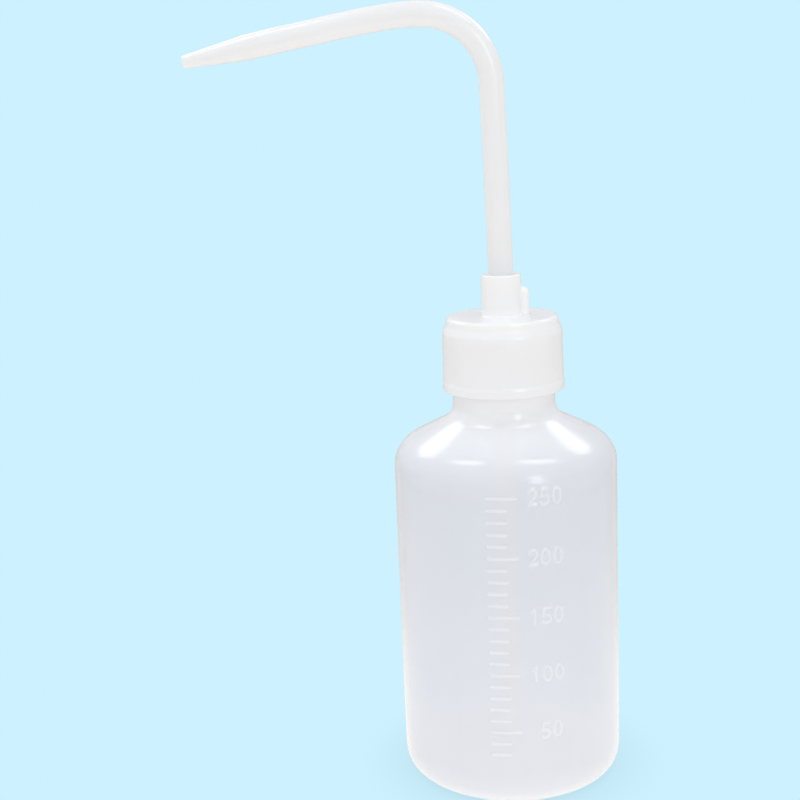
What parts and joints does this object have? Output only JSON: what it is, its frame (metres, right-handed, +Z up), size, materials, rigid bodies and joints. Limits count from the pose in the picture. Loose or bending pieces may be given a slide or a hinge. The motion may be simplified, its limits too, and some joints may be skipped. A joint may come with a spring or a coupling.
{
  "type": "wash bottle",
  "caption": "Squeeze wash bottle: translucent body with a moulded volume scale, screw cap with a collar, bent tapered spout that swivels, and an inner dip tube.",
  "frame": {"origin": "centre of the flat base, on the standing plane", "axes": "+Z up along the bottle's axis, -Y towards the moulded volume scale, -X along the spout at rest"},
  "size_m": [0.1173, 0.0638, 0.2197],
  "materials": {
    "bottle_plastic": "soft satin, milky translucent low-density polyethylene",
    "cap_plastic": "satin, milky white polyethylene",
    "liner_plastic": "soft closed-cell foam",
    "tube_plastic": "satin, milky translucent polyethylene",
    "dip_plastic": "satin, milky translucent polyethylene"
  },
  "bodies": {
    "bottle": {"bottle": "bottle_plastic"},
    "seal": {"liner": "liner_plastic"},
    "closure": {"cap": "cap_plastic", "dip_tube": "dip_plastic"},
    "spout": {"spout_tube": "tube_plastic"}
  },
  "joints": [
    {"name": "cap_rise", "type": "slide", "parent": "bottle", "child": "seal", "axis": [0, 0, 1], "range_m": [0, 0.005]},
    {"name": "cap_turn", "type": "hinge", "parent": "seal", "child": "closure", "pos_m": [0, 0, 0.12], "axis": [0, 0, 1], "range_deg": [0, 450]},
    {"name": "spout_swivel", "type": "hinge", "parent": "closure", "child": "spout", "pos_m": [0, 0, 0.137], "axis": [0, 0, 1], "continuous": true}
  ],
  "couplings": [
    {"joint": "cap_turn", "follows": "cap_rise", "rad_per_m": 1570.8}
  ]
}
